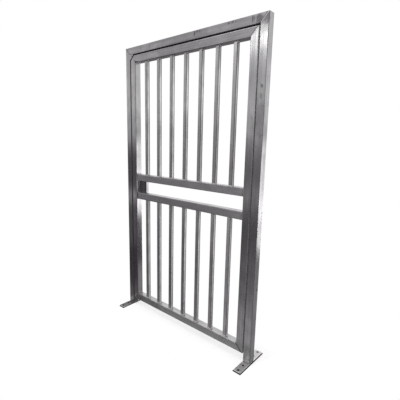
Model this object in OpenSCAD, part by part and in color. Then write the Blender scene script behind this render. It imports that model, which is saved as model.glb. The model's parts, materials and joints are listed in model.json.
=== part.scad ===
// Side gate for a row of turnstiles: a goalpost frame of mitred square steel tube on
// two strip base plates, with one hinged leaf of the same tube filled with upright bars.
// Millimetres. +X runs from the latch post to the hinge post, +Y to the rear, +Z up.
// The origin is on the ground, in the middle of the latch post's base plate.

/* [Frame] */
// Width over the outer faces of the two posts
gate_w = 1180; // [1000:5:1500]
// Height from the ground to the top of the header
gate_h = 2000; // [1800:5:2400]
// Side of the square frame tube
frame_tube = 50; // [44:1:60]
// Wall of the frame tube
frame_wall = 2; // [1.5:0.5:4]
// Outer corner radius of the frame tube
frame_corner_r = 4; // [2.5:0.5:6]

/* [Base plates] */
// Length of a base plate, across the line of the gate
plate_l = 260; // [230:5:360]
// Width of a base plate
plate_w = 50; // [50:1:90]
// Thickness of a base plate
plate_t = 8; // [5:1:15]
// Corner radius of a base plate, in plan
plate_corner_r = 5; // [2:0.5:12]
// Bevel round the top of a base plate
plate_bevel = 1; // [0.5:0.5:2]
// Diameter of a fixing hole
plate_hole_d = 12; // [8:0.5:14]
// Distance from the post's face to the centre of an inner fixing hole
inner_hole_gap = 35; // [20:1:45]
// Distance from the end of the plate to the centre of an outer fixing hole
outer_hole_edge = 18; // [14:1:25]

/* [Leaf] */
// Clearance between the leaf and the frame, above it and on the latch side
leaf_gap = 8; // [6:0.5:15]
// Clearance between the leaf and the hinge post
hinge_gap = 6; // [5:0.5:15]
// Clear height under the leaf
leaf_ground = 55; // [40:5:150]
// Side of the square leaf tube
leaf_tube = 50; // [44:1:60]
// Wall of the leaf tube
leaf_wall = 2; // [1.5:0.5:4]
// Outer corner radius of the leaf tube
leaf_corner_r = 4; // [2.5:0.5:6]
// Height of the underside of the lower middle rail
mid_rail_z = 898; // [700:1:1000]
// Clear height between the two middle rails
mid_gap = 90; // [70:1:200]

/* [Bars] */
// Side of a square bar
bar_tube = 25; // [15:1:30]
// Wall of a bar
bar_wall = 1.5; // [1:0.5:3]
// Outer corner radius of a bar
bar_corner_r = 2.5; // [2:0.5:4]
// Clear gap between a stile and the bar next to it
end_gap = 90; // [50:1:130]

/* [Latch corner] */
// Leg of the triangular gusset in the frame's top corner over the latch
gusset_leg = 38; // [25:1:50]
// Thickness of the gusset
gusset_t = 8; // [6:1:12]
// Thickness of the plate that closes the leaf's cut corner
cap_t = 3; // [2:0.5:5]

/* [Lock] */
// Width of the lock case, along the rails
lock_w = 65; // [40:1:70]
// Depth of the lock case, front to rear
lock_d = 24; // [20:1:30]
// Distance that the lock case stands out behind the leaf
lock_proud = 15; // [5:1:15]
// Sheet thickness of the lock case
lock_wall = 2; // [1:0.5:3]
// Outer radius of the lock case's folds
lock_fold_r = 3; // [3:0.5:5]
// Diameter of the fixing hole in the side of the lock case
lock_hole_d = 5; // [3:0.5:6]
// Height of that hole above the lower middle rail
lock_hole_z = 23; // [12:1:40]

/* [Hinges] */
// Height of the bottom hinge's thrust collar
bottom_hinge_z = 300; // [200:5:500]
// Distance from the top of the gate down to the top hinge's thrust collar
top_hinge_drop = 300; // [200:5:500]
// Outer diameter of a hinge barrel
barrel_d = 18; // [16:1:20]
// Length of one half of a hinge barrel
barrel_l = 45; // [40:1:60]
// Rounding of a barrel's outer end
barrel_end_r = 3; // [1:0.5:4]
// Thickness of a hinge wing
wing_t = 4; // [3:0.5:6]
// Width of a hinge wing, from the pin's axis
wing_w = 36; // [25:1:40]
// Diameter of a hinge pin
pin_d = 10; // [8:0.5:11]
// Depth that a hinge pin enters each half of the barrel
pin_depth = 34; // [25:1:38]
// Thickness of the thrust collar on the pin
collar_t = 2; // [1.5:0.5:4]
// Radial clearance between a pin and its bore
pin_fit = 0.05; // [0.02:0.01:0.1]
// Gap between the collar and the leaf's half of the barrel
collar_fit = 0.3; // [0.2:0.1:0.5]

/* [Side holes] */
// Diameter of a drilled hole in the hinge post's outer side
side_hole_d = 7; // [4:0.5:9]
// Height of the lower side hole
side_hole_z = 918; // [600:1:1200]
// Centre distance of the two side holes
side_hole_pitch = 35; // [25:1:80]
// Distance from the post's rear face to the centres of the side holes
side_hole_edge = 10; // [10:0.5:20]

/* [Hidden] */
$fn = 48;
// How far a cutting shape reaches past what it cuts
over = 1;

post_pitch = gate_w - frame_tube;
front_y = -frame_tube / 2;
frame_rear_y = frame_tube / 2;
header_z = gate_h - frame_tube;

// The leaf's front is flush with the frame's front.
leaf_y = front_y + leaf_tube / 2;
leaf_rear_y = front_y + leaf_tube;
leaf_x0 = frame_tube / 2 + leaf_gap;
leaf_x1 = post_pitch - frame_tube / 2 - hinge_gap;
leaf_w = leaf_x1 - leaf_x0;
leaf_top = header_z - leaf_gap;
leaf_h = leaf_top - leaf_ground;

panel_x0 = leaf_x0 + leaf_tube;
panel_w = leaf_w - 2 * leaf_tube;
bar_x0 = panel_x0 + end_gap + bar_tube / 2;
// The number of bars in each panel, which share out the width evenly
bar_count = 7;
bar_pitch = (panel_w - 2 * end_gap - bar_tube) / (bar_count - 1);
lower_panel_z = leaf_ground + leaf_tube;
lock_z = mid_rail_z + leaf_tube;
upper_rail_z = lock_z + mid_gap;
upper_panel_z = upper_rail_z + leaf_tube;
upper_panel_top = leaf_top - leaf_tube;

inner_hole_y = frame_tube / 2 + inner_hole_gap;
outer_hole_y = plate_l / 2 - outer_hole_edge;

// The leaf's corner is cut parallel to the gusset, one leaf gap away from it. Both
// distances are legs, measured along the tube from the leaf's own outer corner.
corner_cut = gusset_leg + leaf_gap * sqrt(2) - 2 * leaf_gap;
cap_inner = corner_cut + cap_t * sqrt(2);

// The barrels touch the plane of the rear face that lies further back, in line with the
// gap beside the hinge post. The middle hinge is level with the middle of the gap between the rails.
hinge_face_y = max(frame_rear_y, leaf_rear_y);
hinge_x = leaf_x1 + hinge_gap / 2;
hinge_y = hinge_face_y + barrel_d / 2;
bore_d = pin_d + 2 * pin_fit;

hinge_names = ["bottom", "middle", "top"];
hinge_z = [bottom_hinge_z, lock_z + mid_gap / 2, gate_h - top_hinge_drop];

frame_steel = "silver";
leaf_steel = "lightgray";
lock_steel = "dimgray";
pin_steel = "gainsboro";

// ---- Tube ----

// A rectangle with round corners, centred.
module round_rect(size_x, size_y, r) {
    square([size_x - 2 * r, size_y], center = true);
    square([size_x, size_y - 2 * r], center = true);
    for (sx = [-1, 1], sy = [-1, 1])
        translate([sx * (size_x / 2 - r), sy * (size_y / 2 - r)]) circle(r);
}

// A tube's cross-section: the outer outline less the inner one, whose corners are
// rounder by one wall.
module tube_section(size_x, size_y, wall, r) {
    inner_r = max(r - wall, wall / 4);
    difference() {
        round_rect(size_x, size_y, r);
        round_rect(size_x - 2 * wall, size_y - 2 * wall, inner_r);
    }
}

// What a 45 degree mitre takes off the end of a member. The outer face ends at the
// origin, and the cut runs down and inwards, towards +X and -Z.
module mitre_waste(side) {
    reach = side + over;
    rotate([90, 0, 0]) linear_extrude(2 * reach, center = true)
        polygon([[-over, over], [reach, -reach], [-over, -reach]]);
}

// A member of a mitred frame, along +X, with its outer face on z = 0 and its inner face
// below. start_mitre and end_mitre say which ends are mitred. solid gives the outline
// without the bore.
module member(side, wall, r, l, start_mitre, end_mitre, solid = false) {
    difference() {
        translate([0, 0, -side / 2]) rotate([90, 0, 90]) linear_extrude(l)
            if (solid) round_rect(side, side, r);
            else tube_section(side, side, wall, r);
        if (start_mitre) mitre_waste(side);
        if (end_mitre) translate([l, 0, 0]) mirror([1, 0, 0]) mitre_waste(side);
    }
}

// Turn a member so that its outer face looks to -X and it runs upwards.
module as_left_upright() rotate([0, -90, 0]) children();

// Turn a member so that its outer face looks to +X and it runs upwards.
module as_right_upright() mirror([1, 0, 0]) rotate([0, -90, 0]) children();

// Turn a member so that its outer face looks down and it still runs along +X.
module as_sill() rotate([180, 0, 0]) children();

// ---- Frame ----

module post_member() member(frame_tube, frame_wall, frame_corner_r, gate_h - plate_t, false, true);

module latch_post() color(frame_steel)
    translate([-frame_tube / 2, 0, plate_t]) as_left_upright() post_member();

module hinge_post() color(frame_steel) difference() {
    outer_x = post_pitch + frame_tube / 2;
    hole_y = frame_rear_y - side_hole_edge;
    translate([outer_x, 0, plate_t]) as_right_upright() post_member();
    for (z = [side_hole_z, side_hole_z + side_hole_pitch])
        translate([outer_x - frame_wall - over, hole_y, z])
            rotate([0, 90, 0]) cylinder(h = frame_wall + 2 * over, d = side_hole_d);
}

module header() color(frame_steel)
    translate([-frame_tube / 2, 0, gate_h])
        member(frame_tube, frame_wall, frame_corner_r, gate_w, true, true);

// The triangular plate in the corner between the latch post and the header.
module corner_gusset() color(frame_steel)
    translate([frame_tube / 2, front_y + gusset_t, header_z]) rotate([90, 0, 0])
        linear_extrude(gusset_t) polygon([[0, 0], [gusset_leg, 0], [0, -gusset_leg]]);

// ---- Base plates ----

// A prism along +X whose end view is a rectangle with bevelled top corners.
module bevelled_bar(l, w) {
    rotate([90, 0, 90]) linear_extrude(l, center = true)
        polygon([[-w / 2, 0], [w / 2, 0], [w / 2, plate_t - plate_bevel],
                 [w / 2 - plate_bevel, plate_t], [-w / 2 + plate_bevel, plate_t],
                 [-w / 2, plate_t - plate_bevel]]);
}

// A strip of flat bar with round corners, a bevelled top edge and four fixing holes.
module base_plate(x) {
    translate([x, 0, 0]) difference() {
        union() {
            bevelled_bar(plate_w - 2 * plate_corner_r, plate_l);
            rotate([0, 0, 90]) bevelled_bar(plate_l - 2 * plate_corner_r, plate_w);
            for (sx = [-1, 1], sy = [-1, 1])
                translate([sx * (plate_w / 2 - plate_corner_r), sy * (plate_l / 2 - plate_corner_r), 0]) {
                    cylinder(h = plate_t - plate_bevel, r = plate_corner_r);
                    translate([0, 0, plate_t - plate_bevel])
                        cylinder(h = plate_bevel, r1 = plate_corner_r, r2 = plate_corner_r - plate_bevel);
                }
        }
        for (y = [-outer_hole_y, -inner_hole_y, inner_hole_y, outer_hole_y])
            translate([0, y, -over]) cylinder(h = plate_t + 2 * over, d = plate_hole_d);
    }
}

module latch_base_plate() color(frame_steel) base_plate(0);

module hinge_base_plate() color(frame_steel) base_plate(post_pitch);

// ---- Leaf frame ----

// The band that lies between two cuts parallel to the gusset, given by their legs from
// the leaf's outer corner.
module corner_band(near, far) {
    translate([leaf_x0, leaf_y, leaf_top]) rotate([90, 0, 0])
        linear_extrude(leaf_tube + 2 * over, center = true)
            polygon([[-over, over - near], [near - over, over], [far + over, over], [-over, -far - over]]);
}

// What is cut off the leaf's corner to make room for the gusset and the cap.
module corner_waste() corner_band(0, cap_inner);

module latch_stile_member(solid = false)
    translate([leaf_x0, leaf_y, leaf_ground]) as_left_upright()
        member(leaf_tube, leaf_wall, leaf_corner_r, leaf_h, true, true, solid);

module top_rail_member(solid = false)
    translate([leaf_x0, leaf_y, leaf_top])
        member(leaf_tube, leaf_wall, leaf_corner_r, leaf_w, true, true, solid);

module latch_stile() color(leaf_steel) difference() {
    latch_stile_member();
    corner_waste();
}

module top_rail() color(leaf_steel) difference() {
    top_rail_member();
    corner_waste();
}

module hinge_stile() color(leaf_steel)
    translate([leaf_x1, leaf_y, leaf_ground]) as_right_upright()
        member(leaf_tube, leaf_wall, leaf_corner_r, leaf_h, true, true);

module bottom_rail() color(leaf_steel)
    translate([leaf_x0, leaf_y, leaf_ground]) as_sill()
        member(leaf_tube, leaf_wall, leaf_corner_r, leaf_w, true, true);

// A middle rail: square-cut tube between the stiles, with its underside at height z.
module mid_rail(z) color(leaf_steel)
    translate([panel_x0, leaf_y, z + leaf_tube])
        member(leaf_tube, leaf_wall, leaf_corner_r, panel_w, false, false);

module lower_mid_rail() mid_rail(mid_rail_z);

module upper_mid_rail() mid_rail(upper_rail_z);

// The plate that closes the cut corner. Its edges follow the tubes' own outline.
module corner_cap() color(leaf_steel) intersection() {
    corner_band(corner_cut, cap_inner);
    union() {
        latch_stile_member(solid = true);
        top_rail_member(solid = true);
    }
}

// ---- Bars ----

// Bar i of a panel, counted from the latch stile, between heights z0 and z1.
module bar(i, z0, z1) color(leaf_steel)
    translate([bar_x0 + (i - 1) * bar_pitch, leaf_y, z0])
        linear_extrude(z1 - z0) tube_section(bar_tube, bar_tube, bar_wall, bar_corner_r);

// ---- Lock ----

// A folded steel case between the middle rails, against the latch stile.
module lock_case() color(lock_steel) difference() {
    case_y = leaf_rear_y + lock_proud - lock_d / 2;
    translate([panel_x0 + lock_w / 2, case_y, lock_z])
        linear_extrude(mid_gap) tube_section(lock_w, lock_d, lock_wall, lock_fold_r);
    translate([panel_x0 + lock_w - lock_wall - over, case_y, lock_z + lock_hole_z])
        rotate([0, 90, 0]) cylinder(h = lock_wall + 2 * over, d = lock_hole_d);
}

// ---- Hinges ----

// One half of a weld-on hinge: a barrel that opens downwards at z = 0, rounded at its
// closed top end, with a flat wing along +X. The wing is deeper by drop, so that it
// reaches the tube where that tube's rear face lies further forward than the barrel.
module hinge_half(drop) {
    end_x = barrel_d / 2 - barrel_end_r;
    end_z = barrel_l - barrel_end_r;
    difference() {
        union() {
            rotate_extrude() {
                square([barrel_d / 2, end_z]);
                square([end_x, barrel_l]);
                intersection() {
                    translate([end_x, end_z]) circle(barrel_end_r);
                    square([barrel_d / 2, barrel_l]);
                }
            }
            translate([0, -barrel_d / 2 - drop, 0]) cube([wing_w, wing_t + drop, end_z]);
        }
        translate([0, 0, -over]) cylinder(h = pin_depth + pin_fit + over, d = bore_d);
    }
}

module hinge_post_half(z) color(frame_steel)
    translate([hinge_x, hinge_y, z]) mirror([0, 0, 1]) hinge_half(hinge_face_y - frame_rear_y);

module hinge_leaf_half(z) color(leaf_steel)
    translate([hinge_x, hinge_y, z + collar_t + collar_fit])
        mirror([1, 0, 0]) hinge_half(hinge_face_y - leaf_rear_y);

// A pin with a thrust collar, which stands on the post's half and carries the leaf's.
module hinge_pin(z) color(pin_steel) translate([hinge_x, hinge_y, z]) {
    translate([0, 0, -pin_depth]) cylinder(h = 2 * pin_depth + collar_t + collar_fit, d = pin_d);
    cylinder(h = collar_t, d = barrel_d);
}

latch_post();
hinge_post();
header();
corner_gusset();
latch_base_plate();
hinge_base_plate();
latch_stile();
hinge_stile();
top_rail();
bottom_rail();
lower_mid_rail();
upper_mid_rail();
corner_cap();
lock_case();
for (i = [1:bar_count]) {
    bar(i, lower_panel_z, mid_rail_z);
    bar(i, upper_panel_z, upper_panel_top);
}
for (i = [0:len(hinge_names) - 1]) {
    hinge_post_half(hinge_z[i]);
    hinge_leaf_half(hinge_z[i]);
    hinge_pin(hinge_z[i]);
}
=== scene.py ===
"""Looks of the turnstile side gate: brushed stainless tube, ground and beaded welds, and a plain studio."""

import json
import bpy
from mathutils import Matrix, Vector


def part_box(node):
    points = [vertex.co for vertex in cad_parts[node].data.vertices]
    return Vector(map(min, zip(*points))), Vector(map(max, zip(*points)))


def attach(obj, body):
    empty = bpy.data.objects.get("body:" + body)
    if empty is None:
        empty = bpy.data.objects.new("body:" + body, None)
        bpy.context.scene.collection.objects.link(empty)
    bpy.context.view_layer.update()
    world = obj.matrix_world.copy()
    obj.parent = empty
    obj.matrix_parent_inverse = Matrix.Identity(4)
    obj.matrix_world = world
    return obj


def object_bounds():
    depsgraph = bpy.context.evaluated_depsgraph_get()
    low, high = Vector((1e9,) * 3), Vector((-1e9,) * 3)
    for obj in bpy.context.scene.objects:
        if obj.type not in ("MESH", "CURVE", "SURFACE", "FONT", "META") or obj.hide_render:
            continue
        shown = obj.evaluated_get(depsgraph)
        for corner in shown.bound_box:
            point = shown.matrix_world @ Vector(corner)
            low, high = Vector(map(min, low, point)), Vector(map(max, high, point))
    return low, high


bl_info = {
    "name": "Side gate finish",
    "version": (1, 0, 0),
    "blender": (4, 5, 0),
    "location": "View3D > Sidebar > Side Gate",
    "description": "Dresses the packed side gate in brushed stainless steel with its welds",
    "category": "Object",
}

from functools import partial
from math import pi, radians

import bpy
import numpy as np
from bpy.props import FloatProperty, FloatVectorProperty, PointerProperty, StringProperty
from mathutils import Matrix, Vector

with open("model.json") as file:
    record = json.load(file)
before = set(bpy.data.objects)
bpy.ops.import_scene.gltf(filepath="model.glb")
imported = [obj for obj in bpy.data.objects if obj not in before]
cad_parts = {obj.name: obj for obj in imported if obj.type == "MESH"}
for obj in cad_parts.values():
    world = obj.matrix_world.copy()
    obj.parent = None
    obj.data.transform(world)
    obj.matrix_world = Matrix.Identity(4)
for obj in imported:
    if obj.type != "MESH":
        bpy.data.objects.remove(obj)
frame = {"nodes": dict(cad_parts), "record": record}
CAD_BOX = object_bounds()

MM = 0.001
MIDDLE = np.mean(CAD_BOX, axis=0)
HINGES = ("bottom", "middle", "top")
BARS = sum(node.startswith("upper_bar") for node in frame["nodes"])
X_AXIS, Y_AXIS, Z_AXIS = np.eye(3)
# Outer corner radii of the tubes and of the bars.
TUBE_CORNER = 4 * MM
BAR_CORNER = 2.5 * MM
# How far the middle of a fillet stands out, as a share of its two legs, and its stations in one ripple.
CROWN = 0.62
STATIONS = 5
# The studio surround and its glowing panels stand far off, so that a whole member mirrors the same part of them.
SURROUND_RADIUS = 60.0
PANEL_RADIUS = 59.0


# ---- Sizes and colours that a user would change ----


class SideGateWelds(bpy.types.PropertyGroup):
    """Sizes of the weld beads."""

    bar_leg: FloatProperty(
        name="Bar weld leg", description="Leg of the fillet round a bar's foot", default=2.8 * MM, unit="LENGTH"
    )
    rail_leg: FloatProperty(
        name="Rail weld leg", description="Leg of the fillet between a rail and a stile", default=4 * MM, unit="LENGTH"
    )
    foot_leg: FloatProperty(
        name="Foot weld leg", description="Leg of the fillet at a post's foot", default=2.5 * MM, unit="LENGTH"
    )
    hinge_leg: FloatProperty(
        name="Hinge weld leg", description="Leg of the fillet along a hinge wing", default=3 * MM, unit="LENGTH"
    )
    seam_width: FloatProperty(
        name="Ground seam width", description="Width of a weld that is ground flush", default=5 * MM, unit="LENGTH"
    )
    seam_height: FloatProperty(
        name="Ground seam height", description="What the grinder leaves of a seam", default=0.2 * MM, unit="LENGTH"
    )
    ripple_pitch: FloatProperty(
        name="Ripple pitch", description="Distance between two ripples of a bead", default=2.6 * MM, unit="LENGTH"
    )
    ripple_depth: FloatProperty(
        name="Ripple depth", description="Height of a ripple as a share of the bead", default=0.16
    )


class SideGateSteel(bpy.types.PropertyGroup):
    """Colours of the steel, as sRGB hex values."""

    tube_light: StringProperty(name="Tube, clean", description="Clean brushed tube", default="D1D0D1")
    tube_dark: StringProperty(name="Tube, handled", description="Brushed tube where it was handled", default="A5A4A5")
    # stain is also the colour of the painted shade in the rails' corners.
    stain: StringProperty(name="Stain", description="Smudges and heat marks near welds", default="4E4B50")
    weld: StringProperty(name="Weld bead", description="Wire-brushed weld metal", default="C8C5C5")
    plate: StringProperty(name="Flat bar", description="Pickled flat bar", default="CCCACB")
    plate_dull: StringProperty(name="Flat bar, dull", description="Flat bar with mill scale", default="6A686A")
    # rim is fresh ground metal: the colour of the mitre seams, and of the highlight painted round the base plates' top
    # edges.
    rim: StringProperty(name="Ground edge", description="Fresh metal of a ground edge", default="EDEAEA")
    lock: StringProperty(name="Lock case", description="Satin sheet of the lock case", default="848184")


class SideGateStudio(bpy.types.PropertyGroup):
    """Camera and light."""

    location: FloatVectorProperty(
        name="Camera location", description="Where the camera stands", default=(2.040, -1.570, 1.347), unit="LENGTH"
    )
    target: FloatVectorProperty(
        name="Camera target", description="Point that the camera looks at", default=(0.7047, 0.0, 0.9681), unit="LENGTH"
    )
    roll: FloatProperty(
        name="Camera roll", description="Turn of the camera about its line of sight", default=radians(1.34),
        subtype="ANGLE",
    )
    lens: FloatProperty(name="Lens", description="Focal length on a 36 mm sensor, in mm", default=28.85)
    backdrop: FloatProperty(name="Backdrop", description="Brightness of the white backdrop", default=1.0)


# ---- Small helpers ----


def linear(hex_colour):
    """An sRGB hex colour as linear RGBA, by the sRGB transfer curve."""
    channels = np.array([int(hex_colour[i : i + 2], 16) for i in (0, 2, 4)]) / 255
    curved = np.where(channels <= 0.04045, channels / 12.92, ((channels + 0.055) / 1.055) ** 2.4)
    return (*(float(c) for c in curved), 1.0)


def colour_of(name):
    """One of the steel's colours as linear RGBA."""
    return linear(getattr(bpy.context.scene.side_gate_steel, name))


def welds():
    """The sizes of the weld beads."""
    return bpy.context.scene.side_gate_welds


def add_node(tree, kind, **values):
    """Add a shader node. A value is an attribute when its name is in lower case, such as operation, and otherwise an
    input, given by its name with _ for a space, or as in0, in1, ... by its number. A socket makes a link, and so does
    a node, from its first output."""
    node = tree.nodes.new(f"ShaderNode{kind}")
    for key, value in values.items():
        by_number = key[:2] == "in" and key[2:].isdigit()
        if key.islower() and not by_number:
            setattr(node, key, value)
            continue
        socket = node.inputs[int(key[2:])] if by_number else node.inputs[key.replace("_", " ")]
        if isinstance(value, bpy.types.Node):
            value = value.outputs[0]
        if isinstance(value, bpy.types.NodeSocket):
            tree.links.new(value, socket)
        else:
            socket.default_value = value
    return node


def new_material(name):
    """An empty node material, and add_node for its tree."""
    material = bpy.data.materials.new(name)
    material.use_nodes = True
    material.node_tree.nodes.clear()
    return material, partial(add_node, material.node_tree)


def new_piece(name, verts, faces, material):
    """A mesh object from vertices and faces, at the origin."""
    mesh = bpy.data.meshes.new(name)
    mesh.from_pydata(verts.tolist(), [], faces)
    mesh.materials.append(material)
    piece = bpy.data.objects.new(name, mesh)
    bpy.context.scene.collection.objects.link(piece)
    return piece


def weld_piece(name, parts, material, body):
    """Join beads into one smooth piece and let it ride on a CAD body."""
    piece = new_piece(name, *join_beads(parts), material)
    piece.data.shade_smooth()
    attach(piece, body)


def box(node):
    """Lowest and highest corner of a CAD node, as arrays."""
    low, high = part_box(node)
    return np.array(low), np.array(high)


def grid_faces(rows, columns, closed_rows=False, closed_columns=False):
    """Quads of a grid whose vertices run row by row. In a closed direction the last ones join the first ones."""
    row = np.arange(rows if closed_rows else rows - 1)[:, None]
    column = np.arange(columns if closed_columns else columns - 1)[None, :]
    next_row, next_column = (row + 1) % rows, (column + 1) % columns
    corners = (row, column), (next_row, column), (next_row, next_column), (row, next_column)
    return np.stack([at_row * columns + at_column for at_row, at_column in corners], axis=-1).reshape(-1, 4)


# ---- Weld beads as swept surfaces ----


def bead(points, face_a, face_b, crown, distance, closed, rippled=True):
    """A weld bead as vertices, quads and end faces.

    At each station P of the path the bead's skin is the quadratic Bezier curve from P + face_a to P + face_b with the
    control point P + crown, so it bulges between the two welded faces. A root point just under P closes the section.
    The whole section is scaled about P by 1 + depth * |sin(pi * (t / pitch + bow))|, where t is the distance along the
    path and bow is largest in the middle of the skin, which gives the crescent ripples of a hand-laid bead."""
    skin = np.linspace(0.0, 1.0, 6)[None, :, None]
    curve = face_a[:, None] * (1 - skin) ** 2 + crown[:, None] * 2 * skin * (1 - skin) + face_b[:, None] * skin**2
    bow = 1.6 * skin * (1 - skin)
    phase = distance[:, None, None] / welds().ripple_pitch + bow
    scale = 1 + (welds().ripple_depth * np.abs(np.sin(pi * phase)) if rippled else 0)
    if not closed:
        # The ends taper over one ripple, as where the arc starts and stops.
        from_end = np.minimum(distance, distance[-1] - distance)
        taper = np.sqrt(np.clip(from_end / (0.8 * welds().ripple_pitch), 0.02, 1.0))
        scale = scale * taper[:, None, None]
    root = points - 0.3 * crown
    section = np.concatenate([points[:, None] + curve * scale, root[:, None]], axis=1)
    rows, columns = section.shape[:2]
    first = np.arange(columns)
    ends = np.stack([first, first[::-1] + (rows - 1) * columns])[: 0 if closed else 2]
    return section.reshape(-1, 3), grid_faces(rows, columns, closed, True), ends


def signed_volume(verts, faces):
    """What some faces of a closed shape add to its volume, positive when they point outwards: the sum over each
    face's fan of triangles of a . (b x c) / 6."""
    corners = verts[faces]
    return (corners[:, :1] * np.cross(corners[:, 1:-1], corners[:, 2:])).sum() / 6


def join_beads(parts):
    """Join beads into one list of vertices and one of faces, each bead turned so that its faces point outwards."""
    all_verts, all_faces, offset = [], [], 0
    for verts, *groups in parts:
        way = -1 if sum(signed_volume(verts, faces) for faces in groups) < 0 else 1
        for faces in groups:
            all_faces += (faces[:, ::way] + offset).tolist()
        all_verts.append(verts)
        offset += len(verts)
    return np.vstack(all_verts), all_faces


def rounded_loop(half, radius, step):
    """Points at even steps round a rounded rectangle, their outward normals and their distance along it, in its own
    plane. half holds half its sides, and each quarter arc is its centre + radius * (cos, sin)."""
    sides = np.array(((1, 1), (-1, 1), (-1, -1), (1, -1)))
    angle = np.linspace(0, pi / 2, 6) + np.arange(4)[:, None] * pi / 2
    normals = np.stack([np.cos(angle), np.sin(angle)], axis=-1)
    points = (sides * (half - radius))[:, None] + radius * normals
    ring = np.concatenate([points, normals], axis=-1).reshape(-1, 4)
    ring = np.vstack([ring, ring[:1]])
    run = np.concatenate([[0.0], np.cumsum(np.linalg.norm(np.diff(ring[:, :2], axis=0), axis=1))])
    distance = np.linspace(0.0, run[-1], max(round(run[-1] / step), 12), endpoint=False)
    loop, out = np.split(np.stack([np.interp(distance, run, values) for values in ring.T], axis=1), 2, axis=1)
    return loop, out / np.linalg.norm(out, axis=1, keepdims=True), distance


def ring_bead(centre, half, up, leg):
    """A fillet round the end of a bar that stands on a level face. centre is the middle of the joint, half holds half
    the bar's sides, and up points from the face along the bar."""
    loop, normals, distance = rounded_loop(half, BAR_CORNER, welds().ripple_pitch / STATIONS)
    in_plane = ((0, 0), (0, 1))
    points, out = centre + np.pad(loop, in_plane), np.pad(normals, in_plane)
    up = np.broadcast_to(up, out.shape)
    return bead(points, out * leg, up * leg, (out + up) * leg * CROWN, distance, True)


def even_steps(start, end, step):
    """Points at even steps from start to end, and their distance from the start."""
    length = np.linalg.norm(end - start)
    distance = np.linspace(0.0, length, max(round(length / step), 3))
    return start + (end - start) * (distance / length)[:, None], distance


def straight_bead(start, end, face_a, face_b, leg):
    """A straight fillet from start to end in the corner between two faces, which run off along face_a and face_b."""
    points, distance = even_steps(start, end, welds().ripple_pitch / STATIONS)
    a, b = (np.broadcast_to(face, points.shape) for face in (face_a, face_b))
    return bead(points, a * leg, b * leg, (a + b) * leg * CROWN, distance, False)


def flat_seam(start, end, across, normal, share):
    """A weld ground nearly flush: a low strip from start to end. share is its width over a plain seam's."""
    points, distance = even_steps(start, end, 2 * MM)
    side = np.broadcast_to(across * share * welds().seam_width / 2, points.shape)
    up = np.broadcast_to(normal * welds().seam_height, points.shape)
    wander = 1 + 0.18 * np.sin(distance / (7 * MM))[:, None] + 0.1 * np.sin(distance / (2.9 * MM) + 1)[:, None]
    return bead(points, -side * wander, side * wander, up * 2, distance, False, rippled=False)


def mitre_seam(outer, along_a, along_b, side):
    """A ground seam on the front and on the rear of a mitred corner. outer is the tubes' outer corner in the middle
    of their depth, and along_a and along_b run down the two members."""
    diagonal = (along_a + along_b) / np.linalg.norm(along_a + along_b)
    across = (along_a - along_b) / np.linalg.norm(along_a - along_b)
    # The seam stops short of the rounded corners at both its ends.
    near, far = (diagonal * along * 2**0.5 for along in (0.6 * TUBE_CORNER, side - 0.6 * TUBE_CORNER))
    faces = [(outer + out * side / 2, out) for out in (-Y_AXIS, Y_AXIS)]
    return [flat_seam(face + near, face + far, across, out, share=0.7) for face, out in faces]


# ---- Materials ----


def stretched(add, source, axis, across, along, **moved):
    """Coordinates scaled by along in a member's own direction and by across in the other two, so that noise on them
    is drawn out along the member."""
    scale = [along if letter == axis else across for letter in "xyz"]
    return add("Mapping", in0=source, Scale=scale, **moved)


def stained(add, colour, mask):
    """A colour with the stain colour over it where a mask is 1: real stains, and marks of painted shade."""
    return add("Mix", data_type="RGBA", in0=mask, in6=colour, in7=colour_of("stain")).outputs[2]


def marked(add, place, colour, marks, grime):
    """Darken a colour at given places. Each mark is a point, its reach along X, Y and Z, and its strength; it fades
    out towards its reach and breaks up with the grime noise."""
    for point, reach, strength in marks:
        offset = add("VectorMath", operation="SUBTRACT", in0=place, in1=point)
        share = add("VectorMath", operation="DIVIDE", in0=offset, in1=reach)
        distance = add("VectorMath", operation="LENGTH", in0=share).outputs["Value"]
        broken = add("Math", operation="MULTIPLY_ADD", in0=grime, in1=-1.6, in2=distance)
        mask = add(
            "MapRange", interpolation_type="SMOOTHSTEP", Value=broken, From_Min=0.15, From_Max=-0.4,
            To_Max=strength,
        )
        colour = stained(add, colour, mask)
    return colour


def heat_tint(add, split, colour, corners, grime):
    """Darken a colour beside the mitre welds. Each corner is the X and Z of the tubes' outer corner, the slope of the
    seam from there, and a strength. The tint is deepest at the seam and fades out about 11 mm from it."""
    for x, z, slope, strength in corners:
        seam = add("Math", operation="MULTIPLY_ADD", in0=split.outputs[2], in1=-slope, in2=slope * z - x)
        off = add("Math", operation="ADD", in0=split.outputs[0], in1=seam)
        away = add("Math", operation="ABSOLUTE", in0=off)
        broken = add("Math", operation="MULTIPLY_ADD", in0=grime, in1=-10 * MM, in2=away)
        mask = add("MapRange", Value=broken, From_Min=-1 * MM, From_Max=10 * MM, To_Min=strength, To_Max=0.0)
        colour = stained(add, colour, mask)
    return colour


def side_masks(add, normal, axis, hidden, both):
    """Two masks from the surface's own normal, which place painted light and shade, and the normal's part towards the
    rear. The first mask is 1 on two opposite rounded corners of a member along axis, where the product of the normal's
    two parts across it is lowest. The second is 1 on the side facing hidden, or on both that side and the opposite one."""
    parts = add("SeparateXYZ", in0=normal)
    first, second = (parts.outputs["xyz".index(side)] for side in "xyz".replace(axis, ""))
    product = add("Math", operation="MULTIPLY", in0=first, in1=second)
    corner = add("MapRange", Value=product, From_Min=-0.15, From_Max=-0.42)
    facing = add("VectorMath", operation="DOT_PRODUCT", in0=normal, in1=hidden).outputs["Value"]
    if both:
        facing = add("Math", operation="ABSOLUTE", in0=facing)
    away = add("MapRange", Value=facing, From_Min=0.5, From_Max=0.85)
    return corner, away, parts.outputs[1]


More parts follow.
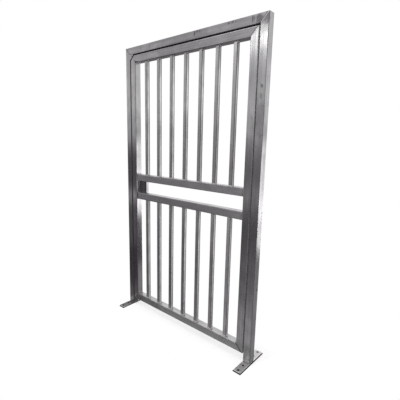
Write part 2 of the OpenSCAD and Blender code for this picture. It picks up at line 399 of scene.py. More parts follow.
def brushed_tube(
    name, axis, seed, roughness=0.25, brush=0.95, wave_mm=0.12, patchy=1.0, edge=0.7, bright=1.0,
    hidden=(0, 0, 0), both=False, hidden_share=0.3, hidden_rough=0.5, rear=None, fades=(), marks=(), stains=(),
    corners=(),
):
    """Drawn and belt-brushed stainless tube: metallic, with fine lines along the member that draw each highlight out
    across them, soft patches where it was handled, a few smudges, and the slight waviness of drawn tube, which bends
    what it mirrors.

    edge scales the colour of two of the rounded corners: below 1 it paints shade on them, above 1 a highlight.
    hidden_share scales the colour of the side that faces hidden (both: and of the one opposite): below 1 it paints
    shade on a side in a gap or underneath, above 1 it paints light on that side. hidden_rough is that side's
    roughness, and rear gives a share of the colour and a roughness for the rear side. Each of fades paints reflection
    and shade by scaling the brightness along Y (1) or Z (2), of that side only or of the whole member: the axis,
    whether it is the whole member, where the change starts, where it is full, and the share there."""
    material, add = new_material(name)
    coords = add("TexCoord")
    place = coords.outputs["Object"]
    split = add("SeparateXYZ", in0=place) if fades or corners else None
    # Each member starts at another place in the noise.
    offset = (seed * 1.37, seed * 0.71, seed * 2.13)
    cloud = add("Mapping", in0=place, Location=offset)
    # Grit 180 leaves lines 0.1 to 0.2 mm apart. They are drawn 1.5 mm apart, so that they show at this distance.
    line = 1.5 * MM
    lines = stretched(add, place, axis, 1 / line, 1 / (90 * line), Location=offset)
    fine = add("TexNoise", Vector=lines, Scale=1.0)
    # Patches about 70 mm long from handling, and streaks about 7 mm wide from the brushing belt.
    patch = add("TexNoise", Vector=stretched(add, cloud, axis, 26.0, 13.0), Scale=1.0)
    belt = add("TexNoise", Vector=stretched(add, cloud, axis, 140.0, 2.0), Scale=1.0, Detail=1.0)
    smudge = add("TexNoise", Vector=cloud, Scale=30.0, Detail=4.0, Roughness=0.7)
    smudge_mask = add("MapRange", Value=smudge, From_Min=0.67 - 0.03 * patchy, From_Max=0.8, To_Max=0.4 * patchy)
    mixed = add("Math", operation="MULTIPLY_ADD", in0=patch, in1=patchy, in2=belt)
    handled = dict(Value=mixed, From_Min=0.2 + 0.3 * patchy, From_Max=0.8 + 0.7 * patchy)
    tone_mask = add("MapRange", **handled)
    base = add("Mix", data_type="RGBA", in0=tone_mask, in6=colour_of("tube_light"), in7=colour_of("tube_dark"))
    colour = marked(add, place, stained(add, base.outputs[2], smudge_mask), (*marks, *stains), smudge)
    colour = heat_tint(add, split, colour, corners, smudge)
    corner, away, rearward = side_masks(add, coords.outputs["Normal"], axis, hidden, both)
    shares = [(corner, edge), (away, hidden_share)]
    if rear:
        back = add("MapRange", Value=rearward, From_Min=0.5, From_Max=0.85)
        shares.append((back, rear[0]))
    factors = [add("MapRange", Value=mask, To_Min=1.0, To_Max=kept) for mask, kept in shares]
    for way, whole, start, full, kept in fades:
        fade = add("MapRange", Value=split.outputs[way], From_Min=start, From_Max=full, To_Max=kept - 1)
        where = 1.0 if whole else away
        factors.append(add("Math", operation="MULTIPLY_ADD", in0=fade, in1=where, in2=1.0))
    share = add("MapRange", Value=fine, From_Min=0.3, From_Max=0.7, To_Min=0.95 * bright, To_Max=1.03 * bright)
    for factor in factors:
        share = add("Math", operation="MULTIPLY", in0=share, in1=factor)
    brushed = add("VectorMath", operation="SCALE", in0=colour, Scale=share)
    rough = add("MapRange", **handled, To_Min=roughness - 0.03, To_Max=roughness + 0.05)
    rough = add("Mix", in0=away, in2=rough, in3=hidden_rough)
    if rear:
        rough = add("Mix", in0=back, in2=rough, in3=rear[1])
    # Drawn tube is wavy over some 120 mm across and 250 mm along.
    wave = add("TexNoise", Vector=stretched(add, cloud, axis, 8.0, 4.0), Scale=1.0, Detail=1.0)
    wavy = add("Bump", Distance=wave_mm * MM, Height=wave)
    grain = add("Bump", Distance=0.006 * MM, Height=fine, Normal=wavy)
    # The two directions across the lines, added up: on each face of the tube it comes out as the one across them.
    across = [0.0 if letter == axis else 0.7071 for letter in "xyz"]
    mean = add("CombineXYZ", X=across[0], Y=across[1], Z=across[2])
    tangent = add("VectorTransform", vector_type="VECTOR", convert_from="OBJECT", convert_to="WORLD", in0=mean)
    shader = add(
        "BsdfPrincipled", Base_Color=brushed, Metallic=1.0, Roughness=rough, Anisotropic=brush, Normal=grain,
        Tangent=tangent,
    )
    add("OutputMaterial", Surface=shader)
    return material


def ground_rim(add, coords, surface, low, high, width):
    """Brighten a band of a width round the top of the box from low to high: a highlight painted along its ground edge.
    """
    middle, inner = (low + high) / 2, (high - low) / 2 - width
    off = add("VectorMath", operation="SUBTRACT", in0=coords.outputs["Object"], in1=middle)
    size = add("VectorMath", operation="ABSOLUTE", in0=off)
    past = add("VectorMath", operation="SUBTRACT", in0=size, in1=inner)
    split = add("SeparateXYZ", in0=past)
    furthest = add("Math", operation="MAXIMUM", in0=split.outputs[0], in1=split.outputs[1])
    band = add("MapRange", Value=furthest, From_Max=0.3 * width)
    normal = add("SeparateXYZ", in0=coords.outputs["Normal"])
    upward = add("MapRange", Value=normal.outputs[2], From_Min=0.3, From_Max=0.6)
    edge = add("Math", operation="MULTIPLY", in0=band, in1=upward)
    return add("Mix", data_type="RGBA", in0=edge, in6=surface, in7=colour_of("rim")).outputs[2]


def flat_steel(
    name, seed, colour, roughness=0.42, grain_mm=2.0, stain_from=0.6, rim=None, face="z", cut_share=1.0, marks=()
):
    """Hot-rolled or folded stainless that was pickled, not brushed: metallic, matt, unevenly mottled, with grey
    stains. rim is the lowest corner, the highest corner and the width of a band round the top edge, painted bright as
    the highlight of its ground bevel. cut_share scales the colour of the faces that don't look along the face axis:
    below 1 it paints shade on the sides and in the holes, above 1 it paints light on the sides."""
    material, add = new_material(name)
    coords = add("TexCoord")
    place = coords.outputs["Object"]
    moved = add("Mapping", in0=place, Location=(seed * 1.1, seed * 0.6, seed * 1.9))
    # Mottling in spots of about 17 mm, and pits 1 to 2 mm wide.
    mottle = add("TexNoise", Vector=moved, Scale=60.0, Detail=3.0, Roughness=0.6)
    pits = add("TexNoise", Vector=moved, Scale=1000 / grain_mm)
    tint = add("MapRange", Value=mottle, From_Min=0.35, From_Max=0.65, To_Min=0.9, To_Max=1.08)
    normal = add("SeparateXYZ", in0=coords.outputs["Normal"])
    level = add("Math", operation="ABSOLUTE", in0=normal.outputs["xyz".index(face)])
    cut = add("MapRange", Value=level, From_Min=0.2, From_Max=0.5, To_Min=cut_share)
    share = add("Math", operation="MULTIPLY", in0=tint, in1=cut)
    base = add("VectorMath", operation="SCALE", in0=colour_of(colour)[:3], Scale=share)
    mask = add("MapRange", Value=mottle, From_Min=stain_from, From_Max=stain_from + 0.12, To_Max=0.6)
    surface = marked(add, place, stained(add, base, mask), marks, mottle)
    if rim:
        surface = ground_rim(add, coords, surface, *rim)
    rough = add("MapRange", Value=pits, To_Min=roughness - 0.08, To_Max=roughness + 0.1)
    bump = add("Bump", Distance=0.008 * MM, Height=pits)
    shader = add("BsdfPrincipled", Base_Color=surface, Metallic=1.0, Roughness=rough, Normal=bump)
    add("OutputMaterial", Surface=shader)
    return material


def weld_metal(name, colour, roughness):
    """Weld metal that was brushed with a wire wheel: metallic, bright on the ripples, dark soot in between."""
    material, add = new_material(name)
    coords = add("TexCoord")
    # Soot and heat tint come in spots a few millimetres wide.
    soot = add("TexNoise", Vector=coords.outputs["Object"], Scale=220.0, Detail=3.0, Roughness=0.6)
    mask = add("MapRange", Value=soot, From_Min=0.55, From_Max=0.75, To_Max=0.6)
    base = stained(add, colour_of(colour), mask)
    rough = add("MapRange", Value=soot, To_Min=roughness - 0.1, To_Max=roughness + 0.15)
    bump = add("Bump", Distance=0.08 * MM, Height=soot)
    shader = add("BsdfPrincipled", Base_Color=base, Metallic=1.0, Roughness=rough, Normal=bump)
    add("OutputMaterial", Surface=shader)
    return material


def dress(node, material):
    """Give a CAD node its finish."""
    piece = frame["nodes"][node]
    piece.data.materials.clear()
    piece.data.materials.append(material)


# Darker marks on a member's front face: small heat marks and smudges, a few long faint darker stretches, and painted
# shade in some corners. Each is the place along the member, from the left or the top, and from its upper or left
# edge, the reach along and across it, and a strength.
HEADER_MARKS = (
    (0.175, 0.020, 0.010, 0.030, 0.25),
    (0.265, 0.020, 0.008, 0.030, 0.25),
    (0.676, 0.012, 0.006, 0.032, 0.70),
    (0.697, 0.010, 0.012, 0.008, 0.50),
    (0.715, 0.012, 0.008, 0.008, 0.40),
    (0.930, 0.012, 0.010, 0.008, 0.50),
    (0.955, 0.010, 0.012, 0.007, 0.50),
    (0.974, 0.012, 0.008, 0.008, 0.45),
    (1.083, 0.022, 0.005, 0.024, 0.80),
    (1.093, 0.022, 0.005, 0.024, 0.60),
    (1.120, 0.024, 0.028, 0.036, 0.62),
    (0.560, 0.025, 0.320, 0.060, 0.22),
)
HINGE_POST_MARKS = (
    (0.022, 0.025, 0.050, 0.060, 0.50),
    (0.362, 0.029, 0.014, 0.013, 0.62),
    (0.412, 0.028, 0.024, 0.016, 0.35),
    (0.530, 0.025, 0.140, 0.060, 0.35),
)
LATCH_POST_MARKS = ((0.900, 0.030, 0.012, 0.010, 0.40),)
# The marks at the mid rails' ends are painted shade in their corners against the stiles.
MID_RAIL_MARKS = ((0.000, 0.020, 0.022, 0.034, 0.75), (0.966, 0.030, 0.012, 0.030, 0.35))
# The three strong marks at the top rail's left end are painted shade in its corner by the cap.
TOP_RAIL_MARKS = (
    (0.052, 0.052, 0.044, 0.012, 0.95),
    (0.090, 0.055, 0.020, 0.008, 0.80),
    (0.030, 0.046, 0.010, 0.010, 0.70),
    (0.440, 0.025, 0.280, 0.060, 0.20),
)
BOTTOM_RAIL_MARKS = ((0.120, 0.030, 0.320, 0.060, 0.40),)
# Dark spots on the hinge post's outer side, as height, Y, and reach along Y and Z, and strength.
SIDE_STAINS = (
    (0.486, 0.012, 0.016, 0.011, 0.8),
    (0.931, 0.017, 0.006, 0.006, 0.5),
    (0.894, 0.017, 0.006, 0.006, 0.5),
)

# Painted reflection and shade, which differ from bar to bar. From the latch side on: each upper bar's side and rounded
# corner, each lower bar's front, and its side against that front.
UPPER_BAR_TONES = (
    (1.70, 0.15), (1.65, 0.15), (1.65, 0.15), (1.55, 0.20), (1.35, 0.30), (1.20, 0.40), (1.00, 0.45),
)
LOWER_BAR_TONES = (
    (0.95, 1.55), (0.85, 1.75), (0.80, 1.85), (0.86, 1.70), (0.95, 1.50), (1.10, 1.20), (1.33, 0.85),
)
# The rear sides of posts and stiles were brushed least: the share of light they keep, and their roughness.
REAR = (0.8, 0.45)


def front_marks(node, marks):
    """Places, reaches and strengths of marks on a member's front face."""
    low, high = box(node)
    lying = high[0] - low[0] > high[2] - low[2]
    start = np.array((low[0], low[1], high[2]))
    ahead, aside = (X_AXIS, -Z_AXIS) if lying else (-Z_AXIS, X_AXIS)
    return [
        (start + along * ahead + across * aside, np.abs(long * ahead + wide * aside) + 0.02 * Y_AXIS, strength)
        for along, across, long, wide, strength in marks
    ]


def brush_members(first_seed, members):
    """Finish members in brushed tube. Each is its node, its axis, its front marks and what else its finish takes."""
    for seed, (node, axis, marks, finish) in enumerate(members, first_seed):
        name = f"Brushed stainless tube {node}"
        dress(node, brushed_tube(name, axis, seed, marks=front_marks(node, marks), **finish))


# ---- Operators ----


class SIDEGATE_OT_frame_finish(bpy.types.Operator):
    """Finish the posts, the header, the gusset and the base plates"""

    bl_idname = "sidegate.frame_finish"
    bl_label = "Frame finish"

    def execute(self, context):
        low, high = box("header")
        tinted = ((low[0], high[2], -1, 0.4), (high[0], high[2], 1, 0.65))
        outer = box("hinge_post")[1][0]
        stains = [((outer, y, z), (3 * MM, long, high), strength) for z, y, long, high, strength in SIDE_STAINS]
        # Painted light: the latch post's side towards the leaf and the header's underside are painted darker as shade,
        # the hinge post's side in the hinge gap a little lighter, and two rounded corners of each member darker.
        brush_members(3, (
            ("latch_post", "z", LATCH_POST_MARKS, dict(
                roughness=0.18, edge=0.5, hidden=X_AXIS, hidden_share=0.5, rear=REAR,
            )),
            ("hinge_post", "z", HINGE_POST_MARKS, dict(
                edge=0.55, hidden=-X_AXIS, hidden_share=1.1, hidden_rough=0.8, rear=REAR, stains=stains,
            )),
            ("header", "x", HEADER_MARKS, dict(hidden=-Z_AXIS, corners=tinted)),
        ))
        # Its edges are painted dark, as shade.
        dress("corner_gusset", flat_steel(
            "Ground stainless gusset", 2.0, "plate", stain_from=0.5, face="y", cut_share=0.1
        ))
        for side, colour in (("latch", "plate_dull"), ("hinge", "plate")):
            node = f"{side}_base_plate"
            # A dark ring of painted shade round each hole, so that it looks as dark as the shaded ground under it.
            rings = [
                (np.array(mount["pos_m"]) + way * mount["dims"]["spacing_y_mm"] / 2 * MM * Y_AXIS, [11 * MM] * 3, 0.8)
                for mount in frame["record"]["mounts"] if mount["name"].startswith(f"{side}_base_") and mount["dims"]
                for way in (-1, 1)
            ]
            # Their sides and hole walls are painted dark, as shade, and a highlight is painted round their top edges.
            dress(node, flat_steel(
                f"Pickled stainless flat bar {node}", 5.0, colour, stain_from=0.7, rim=(*box(node), 3 * MM),
                cut_share=0.06, marks=rings,
            ))
        return {"FINISHED"}


class SIDEGATE_OT_leaf_finish(bpy.types.Operator):
    """Finish the stiles, the rails, the corner cap, the bars and the lock case"""

    bl_idname = "sidegate.leaf_finish"
    bl_label = "Leaf finish"

    def execute(self, context):
        low, high = box("bottom_rail")[0], box("hinge_stile")[1]
        top_tint = ((high[0], high[2], 1, 0.6),)
        bottom_tint = ((low[0], low[2], 1, 0.3), (high[0], low[2], -1, 0.8))
        # Painted light: the latch stile's side towards the post, the top rail's top under the header and the bottom
        # rail's underside are painted darker as shade, and the hinge stile's sides a little lighter. Two rounded
        # corners of the top rail, its upper front one among them, get a painted highlight, and those of the latch stile
        # and the other rails painted shade.
        brush_members(10, (
            ("latch_stile", "z", (), dict(roughness=0.18, edge=0.4, hidden=-X_AXIS, hidden_share=0.5, rear=REAR)),
            ("hinge_stile", "z", (), dict(
                edge=1.0, hidden=X_AXIS, both=True, hidden_share=1.1, hidden_rough=0.8, rear=REAR,
            )),
            ("top_rail", "x", TOP_RAIL_MARKS, dict(edge=2.2, hidden=Z_AXIS, corners=top_tint)),
            ("bottom_rail", "x", BOTTOM_RAIL_MARKS, dict(
                edge=0.9, hidden=-Z_AXIS, hidden_share=0.7, corners=bottom_tint,
            )),
            *((f"{panel}_mid_rail", "x", MID_RAIL_MARKS, dict(edge=0.9)) for panel in ("lower", "upper")),
        ))
        # Its edges are painted darker, as shade.
        dress("corner_cap", flat_steel(
            "Ground stainless cap", 7.0, "plate_dull", 0.5, stain_from=0.56, face="y", cut_share=0.3
        ))
        # Painted reflection across each bar's side: bright along its middle, and painted darker towards its
        # front and rear edges.
        (_, front, foot), (_, back, top) = box("upper_bar_1")
        strip = ((1, False, front + 7 * MM, front + 4 * MM, 0.45), (1, False, back - 11 * MM, back - 7 * MM, 0.4))
        # Along an upper bar, painted reflection and shade: its side darker towards its foot and at its very top, and
        # the whole bar brighter just above its foot.
        worn = (
            *strip, (2, False, foot + 0.55, foot + 0.12, 0.42), (2, False, top - 0.14, top, 0.6),
            (2, True, foot + 0.30, foot + 0.08, 1.35),
        )
        # Feet and trolleys scuffed the lower bars, so they glint less. Painted reflection and shade on them: their
        # fronts brighter towards their top, and their sides darker there.
        top = box("lower_bar_1")[1][2]
        scuffed = (*strip, (2, False, top - 0.30, top, 0.42), (2, True, top - 0.30, top, 1.4))
        for number in range(BARS):
            upper_side, upper_corner = UPPER_BAR_TONES[number % len(UPPER_BAR_TONES)]
            lower_front, lower_side = LOWER_BAR_TONES[number % len(LOWER_BAR_TONES)]
            for panel, work, seed, finish in (
                ("upper", "Brushed", 20, dict(
                    roughness=0.3, brush=0.6, bright=0.88, edge=upper_corner, hidden_share=upper_side,
                    hidden_rough=0.22, fades=worn,
                )),
                ("lower", "Scuffed", 30, dict(
                    roughness=0.4, brush=0.3, bright=lower_front, edge=0.3, hidden_share=lower_side, fades=scuffed,
                )),
            ):
                bar = f"{panel}_bar_{number + 1}"
                dress(bar, brushed_tube(
                    f"{work} stainless {bar}", "z", seed + number, wave_mm=0.3, patchy=2.2, hidden=X_AXIS, both=True,
                    **finish,
                ))
        # The lock case's sides are painted brighter, as a highlight, and a band of painted shade runs down its front
        # beside its right edge.
        low, high = box("lock_case")
        folded = ((high[0] - 10 * MM, low[1], (low[2] + high[2]) / 2), (14 * MM, 6 * MM, 80 * MM), 0.6)
        dress("lock_case", flat_steel(
            "Satin folded stainless", 9.0, "lock", 0.36, 1.0, 0.66, face="y", cut_share=2.6, marks=(folded,)
        ))
        return {"FINISHED"}


class SIDEGATE_OT_hinge_finish(bpy.types.Operator):
    """Finish the hinges and their pins"""

    bl_idname = "sidegate.hinge_finish"
    bl_label = "Hinge finish"

    def execute(self, context):
        turned = flat_steel("Turned stainless bar", 12.0, "tube_light", roughness=0.3, grain_mm=1.5)
        ground = flat_steel("Ground stainless pin", 14.0, "weld", roughness=0.2, grain_mm=1.0)
        for name in HINGES:
            for part, metal in (("post_half", turned), ("leaf_half", turned), ("pin", ground)):
                dress(f"{name}_hinge_{part}", metal)
        return {"FINISHED"}


class SIDEGATE_OT_mitre_seams(bpy.types.Operator):
    """Lay the ground seams on the mitred corners"""

    bl_idname = "sidegate.mitre_seams"
    bl_label = "Mitre seams"

    def execute(self, context):
        fresh = weld_metal("Ground weld seam", "rim", 0.4)
        dull = weld_metal("Weathered weld seam", "lock", 0.4)
        (left, _, _), (right, _, top) = box("header")
        leaf_left = box("latch_stile")[0][0]
        (_, _, leaf_foot), (leaf_right, _, leaf_top) = box("hinge_stile")
        joints = (
            ("latch_corner_seam", dull, "frame", "header", ((left, top, X_AXIS, -Z_AXIS),)),
            ("hinge_corner_seam", fresh, "frame", "header", ((right, top, -X_AXIS, -Z_AXIS),)),
            ("leaf_top_seam", fresh, "leaf", "top_rail", ((leaf_right, leaf_top, -X_AXIS, -Z_AXIS),)),
            ("leaf_bottom_seams", dull, "leaf", "bottom_rail", (
                (leaf_left, leaf_foot, X_AXIS, Z_AXIS), (leaf_right, leaf_foot, -X_AXIS, Z_AXIS),
            )),
        )
        for name, metal, body, node, corners in joints:
            low, high = box(node)
            side, depth = high[2] - low[2], (low[1] + high[1]) / 2
            parts = []
            for x, z, along_a, along_b in corners:
                parts += mitre_seam(np.array([x, depth, z]), along_a, along_b, side)
            weld_piece(name, parts, metal, body)
        return {"FINISHED"}


class SIDEGATE_OT_bar_welds(bpy.types.Operator):
    """Lay a fillet round both ends of every bar"""

    bl_idname = "sidegate.bar_welds"
    bl_label = "Bar welds"

    def execute(self, context):
        metal = weld_metal("Wire-brushed weld bead", "weld", 0.34)
        for panel in ("lower", "upper"):
            parts = []
            for number in range(BARS):
                low, high = box(f"{panel}_bar_{number + 1}")
                middle, half = (high + low) / 2, (high - low) / 2
                for z, up in ((low[2], Z_AXIS), (high[2], -Z_AXIS)):
                    parts.append(ring_bead(np.array([*middle[:2], z]), half[:2], up, welds().bar_leg))
            weld_piece(f"{panel}_bar_welds", parts, metal, "leaf")
        return {"FINISHED"}


class SIDEGATE_OT_rail_welds(bpy.types.Operator):
    """Weld the middle rails to the stiles: fillets above and below, ground seams in front and behind"""

    bl_idname = "sidegate.rail_welds"
    bl_label = "Rail welds"

    def execute(self, context):
        inset = 5 * MM
        parts = []
        for node in ("lower_mid_rail", "upper_mid_rail"):
            low, high = box(node)
            for x, away in ((low[0], X_AXIS), (high[0], -X_AXIS)):
                for z, up in ((low[2], -Z_AXIS), (high[2], Z_AXIS)):
                    ends = [np.array([x, y, z]) for y in (low[1] + inset, high[1] - inset)]
                    parts.append(straight_bead(*ends, away, up, welds().rail_leg))
                for y, out in ((low[1], -Y_AXIS), (high[1], Y_AXIS)):
                    ends = [np.array([x, y, z]) - away * MM for z in (low[2] + inset, high[2] - inset)]
                    parts.append(flat_seam(*ends, X_AXIS, out, share=1.4))
        weld_piece("rail_welds", parts, bpy.data.materials["Wire-brushed weld bead"], "leaf")
        return {"FINISHED"}


class SIDEGATE_OT_foot_welds(bpy.types.Operator):
    """Weld the posts to their base plates, in front and behind"""

    bl_idname = "sidegate.foot_welds"
    bl_label = "Foot welds"

    def execute(self, context):
        inset = 3 * MM
        parts = []
        for node in ("latch_post", "hinge_post"):
            low, high = box(node)
            for y, out in ((low[1], -Y_AXIS), (high[1], Y_AXIS)):
                ends = [np.array([x, y, low[2]]) for x in (low[0] + inset, high[0] - inset)]
                parts.append(straight_bead(*ends, out, Z_AXIS, welds().foot_leg))
        weld_piece("foot_welds", parts, weld_metal("Blasted weld bead", "plate_dull", 0.5), "frame")
        return {"FINISHED"}


class SIDEGATE_OT_hinge_welds(bpy.types.Operator):
    """Weld the hinge wings to the rear faces of the post and the stile"""

    bl_idname = "sidegate.hinge_welds"
    bl_label = "Hinge welds"

    def execute(self, context):
        metal = bpy.data.materials["Wire-brushed weld bead"]
        inset, wing, tip = 2 * MM, 24 * MM, 3 * MM
        for half, body, way in (("post", "frame", 1), ("leaf", "leaf", -1)):
            parts = []
            for name in HINGES:
                low, high = box(f"{name}_hinge_{half}_half")
                face = low[1]
                # The barrel stands past its wing, below it on the post half and above it on the leaf half.
                edge, foot, top = (high[0], low[2] + tip, high[2]) if way > 0 else (low[0], low[2], high[2] - tip)
                side = [np.array([edge, face, z]) for z in (foot + inset, top - inset)]
                parts.append(straight_bead(*side, X_AXIS * way, Y_AXIS, welds().hinge_leg))
                for z, up in ((foot, -Z_AXIS), (top, Z_AXIS)):
                    ends = [np.array([x, face, z]) for x in (edge - way * wing, edge - way * inset)]
                    parts.append(straight_bead(*ends, up, Y_AXIS, welds().hinge_leg))
            weld_piece(f"hinge_{half}_welds", parts, metal, body)
        return {"FINISHED"}


class SIDEGATE_OT_studio(bpy.types.Operator):
    """Set up the floor, the white background, the studio surround, the lamp and the camera"""

    bl_idname = "sidegate.studio"
    bl_label = "Studio"

    def execute(self, context):
        studio = context.scene.side_gate_studio
        white_world(studio)
        pale_floor(studio)
        studio_surround()
        glowing_panels()
        soft_lamp()
        place_camera(studio)
        context.scene.view_settings.view_transform = "Standard"
        return {"FINISHED"}


def seen_directly(add):
    """1 for camera, glossy and transmission rays, which are the ones that see the background itself."""
    path = add("LightPath").outputs
    mirrored = add("Math", operation="MAXIMUM", in0=path["Is Glossy Ray"], in1=path["Is Transmission Ray"])
    return add("Math", operation="MAXIMUM", in0=path["Is Camera Ray"], in1=mirrored)


def white_world(studio):
    """A white background, and a plain grey light for diffuse surfaces."""
    world = bpy.data.worlds.new("Studio")
    bpy.context.scene.world = world
    world.use_nodes = True
    world.node_tree.nodes.clear()
    add = partial(add_node, world.node_tree)
    ambient = add("Background", Color=(0.6, 0.6, 0.6, 1))
    white = add("Background", Color=(1, 1, 1, 1), Strength=studio.backdrop)
    mix = add("MixShader", in0=seen_directly(add), in1=ambient, in2=white)
    add("OutputWorld", Surface=mix)


def pale_floor(studio):
    """A sheet of white paper on the ground, which keeps a soft shadow of the gate. Under each base plate lies a dark
    patch, which shows through its bolt holes and as a thin line of shade round it."""
    margin, shade = np.array((0.06, 0.06, 0.0)), np.array((3.5 * MM, 3.5 * MM, 0.0))
    low, high = np.array(CAD_BOX)
    patches = [(low - margin, high + margin, -0.2 * MM)]
    for plate in ("latch_base_plate", "hinge_base_plate"):
        low, high = box(plate)
        patches.append((low - shade, high + shade, -0.1 * MM))
    verts = np.array([
        (x, y, height) for a, b, height in patches for x, y in ((a[0], a[1]), (b[0], a[1]), (b[0], b[1]), (a[0], b[1]))
    ])
    material, add = new_material("White studio paper")
    paper = add("BsdfDiffuse", Color=(0.8, 0.8, 0.8, 1))
    glow = add("Emission", Strength=0.5 * studio.backdrop)
    none = add("Emission", Color=(0, 0, 0, 1), Strength=0.0)
    extra = add("MixShader", in0=seen_directly(add), in1=none, in2=glow)
    both = add("AddShader", in0=paper, in1=extra)
    # Seen flat in the steel, the paper is as dim as the studio floor round it.
    path = add("LightPath")
    dim = add("Emission", Strength=0.32)
    mix = add("MixShader", in0=path.outputs["Is Glossy Ray"], in1=both, in2=dim)
    add("OutputMaterial", Surface=mix)
    floor = new_piece("floor", verts, np.arange(len(verts)).reshape(-1, 4).tolist(), material)
    shaded, add = new_material("Shaded ground")
    ground = add("BsdfDiffuse", Color=(0.02, 0.02, 0.02, 1))
    add("OutputMaterial", Surface=ground)
    floor.data.materials.append(shaded)
    floor.data.polygons.foreach_set("material_index", np.arange(len(patches)).clip(0, 1))


# What the steel mirrors, as soft-edged cards on a sphere round the set. Each is azimuth from and to (0 is +X, 90 is
# +Y), elevation from and to, softness of its edges, all in degrees, and its brightness. A later card covers an
# earlier one.
CARDS = (
    (-190, 190, 52, 95, 8, 1.5),  # ceiling
    (-190, -75, 1, 52, 2, 0.57),  # wall in front, on the left
    (-190, -75, 5, 13, 2, 0.72),  # its paler band
    (-126, -75, 9, 15, 2, 0.50),  # its dimmer end
    (-190, -75, -90, -0.5, 2, 0.19),  # ground in front
    (-190, -132, -90, -1.5, 2, 0.09),  # darker on the left
    (-190, -75, -10.7, -8.8, 0.8, 0.45),  # pale line across it
    (-190, -75, -21, -12.5, 1.5, 0.08),  # darker, nearer
    (-190, -132, -18.5, -12.5, 1.2, 0.13),  # paler on the left
    (-190, -126, -25.5, -18.5, 1, 0.04),  # darkest on the left
    (-126, -75, -29.5, -19, 2, 0.22),  # paler beside it
    (-190, -130, -90, -26, 2, 0.14),  # close by on the left
    (-130, -75, -90, -29.5, 2, 0.50),  # close by in the middle
    (-126, -75, 18.8, 26, 0.8, 0.22),  # dark over the lamp
    (-75, 5, -90, 3, 5, 0.32),  # ground on the right
    (-75, 5, 3, 60, 5, 0.7),  # wall on the right
    (5, 98, 2, 57, 2, 0.86),  # wall behind, on the right
    (5, 98, -90, 2, 2, 0.33),  # ground behind
    (5, 80, -12.8, 0.5, 1.2, 1.6),  # bright strip along the horizon
    (5, 42, -12.8, -6, 1.2, 2.2),  # its brightest part
    (5, 46, -22, -13.2, 0.8, 0.0),  # dark under it
    (46, 56, 3.5, 11, 1.5, 1.3),  # a window above it
    (45.5, 55.5, -13, 1, 1.2, 0.6),  # and a gap in it
    (60, 80, -19.5, 1, 1.2, 1.6),  # frame of the glowing window
    (98, 175, 2, 22, 3, 1.15),  # bright wall behind, on the left
    (98, 175, 22, 40, 5, 1.15),  # and above it
    (98, 175, -90, 2, 3, 0.2),  # ground below it
)
# The brightest parts, as glowing panels of their own: azimuth from and to, elevation from and to, and brightness.
PANELS = (
    ("lamp_panel", -119, -109, 16.4, 17.9, 19.0),
    ("window_panel", 60, 80, -18.8, -9.5, 3.7),
)


def card_mask(add, azimuth, elevation, card):
    """1 inside a card and 0 outside it, with a smooth step across each of its four edges."""
    *edges, soft, _ = card
    mask = 1.0
    for angle, start, end in ((azimuth, *edges[:2]), (elevation, *edges[2:])):
        for edge, way in ((start, 1), (end, -1)):
            side = add(
                "MapRange", interpolation_type="SMOOTHSTEP", Value=angle,
                From_Min=radians(edge - way * soft), From_Max=radians(edge + way * soft),
            )
            mask = add("Math", operation="MULTIPLY", in0=side, in1=mask)
    return mask


def sky_piece(name, radius, azimuth, elevation, material, all_round=False):
    """A stage piece that only reflections see: a part of a sphere round the set, whose point at azimuth a and
    elevation e is the set's middle + radius * (cos e cos a, cos e sin a, sin e)."""
    a, e = azimuth[None, :], elevation[:, None]
    grid = np.stack([np.cos(e) * np.cos(a), np.cos(e) * np.sin(a), np.sin(e) * np.ones_like(a)], axis=-1)
    faces = grid_faces(len(elevation), len(azimuth), closed_columns=all_round)
    piece = new_piece(name, MIDDLE + radius * grid.reshape(-1, 3), faces.tolist(), material)
    for kind in ("camera", "diffuse", "transmission", "volume_scatter", "shadow"):
        setattr(piece, f"visible_{kind}", False)


def studio_surround():
    """The rest of the studio: a whole sphere, painted with the cards by its azimuth and elevation."""
    material, add = new_material("Studio surround")
    place = add("TexCoord").outputs["Object"]
    centred = add("VectorMath", operation="SUBTRACT", in0=place, in1=MIDDLE)
    unit = add("VectorMath", operation="NORMALIZE", in0=centred)
    split = add("SeparateXYZ", in0=unit)
    azimuth = add("Math", operation="ARCTAN2", in0=split.outputs[1], in1=split.outputs[0])
    elevation = add("Math", operation="ARCSINE", in0=split.outputs[2])
    level = 0.5  # between the cards
    for card in CARDS:
        level = add("Mix", in0=card_mask(add, azimuth, elevation, card), in2=level, in3=card[-1])
    # Shade in the studio is a little violet.
    tinted = add("VectorMath", operation="ADD", in0=level, in1=(0.01, 0.0, 0.01))
    glow = add("Emission", Color=tinted)
    add("OutputMaterial", Surface=glow)
    # Reflections find the surround by themselves, so the lamps are sampled without it and the steel has less grain.
    material.cycles.emission_sampling = "NONE"
    # Just short of the poles, so that no face shrinks to a line.
    top = pi / 2 - 0.001
    around = np.linspace(0, 2 * pi, 48, endpoint=False)
    sky_piece("surround", SURROUND_RADIUS, around, np.linspace(top, -top, 24), material, all_round=True)


def glowing_panels():
    """The panels, just inside the surround. Being pieces of their own, they light the steel evenly."""
    for name, *edges, brightness in PANELS:
        from_a, to_a, from_e, to_e = np.radians(edges)
        material, add = new_material(f"Glowing {name}")
        glow = add("Emission", Strength=brightness)
        add("OutputMaterial", Surface=glow)
        sky_piece(name, PANEL_RADIUS, np.linspace(from_a, to_a, 9), np.linspace(from_e, to_e, 5), material)


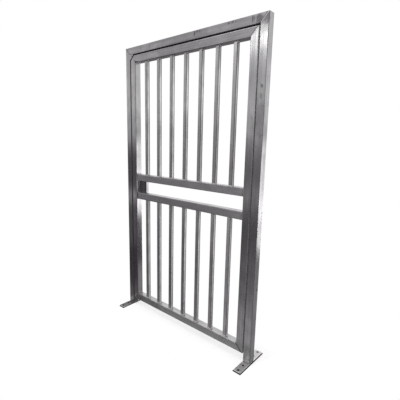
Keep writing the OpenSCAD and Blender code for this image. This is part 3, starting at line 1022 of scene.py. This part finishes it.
def soft_lamp():
    """One large soft lamp over the gate, for the floor and the shadow."""
    lamp = bpy.data.lights.new("overhead", "SUN")
    lamp.energy = 0.6
    lamp.angle = radians(50)
    overhead = bpy.data.objects.new("overhead", lamp)
    overhead.rotation_euler = (radians(28), radians(-18), 0)
    bpy.context.scene.collection.objects.link(overhead)


def place_camera(studio):
    """A camera at its place, turned to its target and rolled about its line of sight."""
    data = bpy.data.cameras.new("camera")
    data.lens = studio.lens
    data.clip_end = 100
    camera = bpy.data.objects.new("camera", data)
    bpy.context.scene.collection.objects.link(camera)
    place = Vector(studio.location)
    ahead = (Vector(studio.target) - place).normalized()
    level = ahead.cross(Vector((0, 0, 1))).normalized()
    turned = Matrix((level, level.cross(ahead), -ahead)).transposed() @ Matrix.Rotation(studio.roll, 3, "Z")
    camera.matrix_world = Matrix.Translation(place) @ turned.to_4x4()
    bpy.context.scene.camera = camera


# ---- Panel and registration ----


STEPS = (
    SIDEGATE_OT_frame_finish,
    SIDEGATE_OT_leaf_finish,
    SIDEGATE_OT_hinge_finish,
    SIDEGATE_OT_mitre_seams,
    SIDEGATE_OT_bar_welds,
    SIDEGATE_OT_rail_welds,
    SIDEGATE_OT_foot_welds,
    SIDEGATE_OT_hinge_welds,
    SIDEGATE_OT_studio,
)


class SIDEGATE_PT_panel(bpy.types.Panel):
    """The side gate's steps, in order"""

    bl_idname = "SIDEGATE_PT_panel"
    bl_label = "Side Gate"
    bl_space_type = "VIEW_3D"
    bl_region_type = "UI"
    bl_category = "Side Gate"

    def draw(self, context):
        for step in STEPS:
            self.layout.operator(step.bl_idname)


GROUPS = {
    "side_gate_welds": SideGateWelds,
    "side_gate_steel": SideGateSteel,
    "side_gate_studio": SideGateStudio,
}


def register():
    for cls in (*GROUPS.values(), *STEPS, SIDEGATE_PT_panel):
        bpy.utils.register_class(cls)
    for name, group in GROUPS.items():
        setattr(bpy.types.Scene, name, PointerProperty(type=group))


def unregister():
    for name in GROUPS:
        delattr(bpy.types.Scene, name)
    for cls in (SIDEGATE_PT_panel, *reversed(STEPS), *reversed(GROUPS.values())):
        bpy.utils.unregister_class(cls)


def main():
    register()
    for step in STEPS:
        family, name = step.bl_idname.split(".")
        getattr(getattr(bpy.ops, family), name)()


if __name__ == "__main__":
    main()
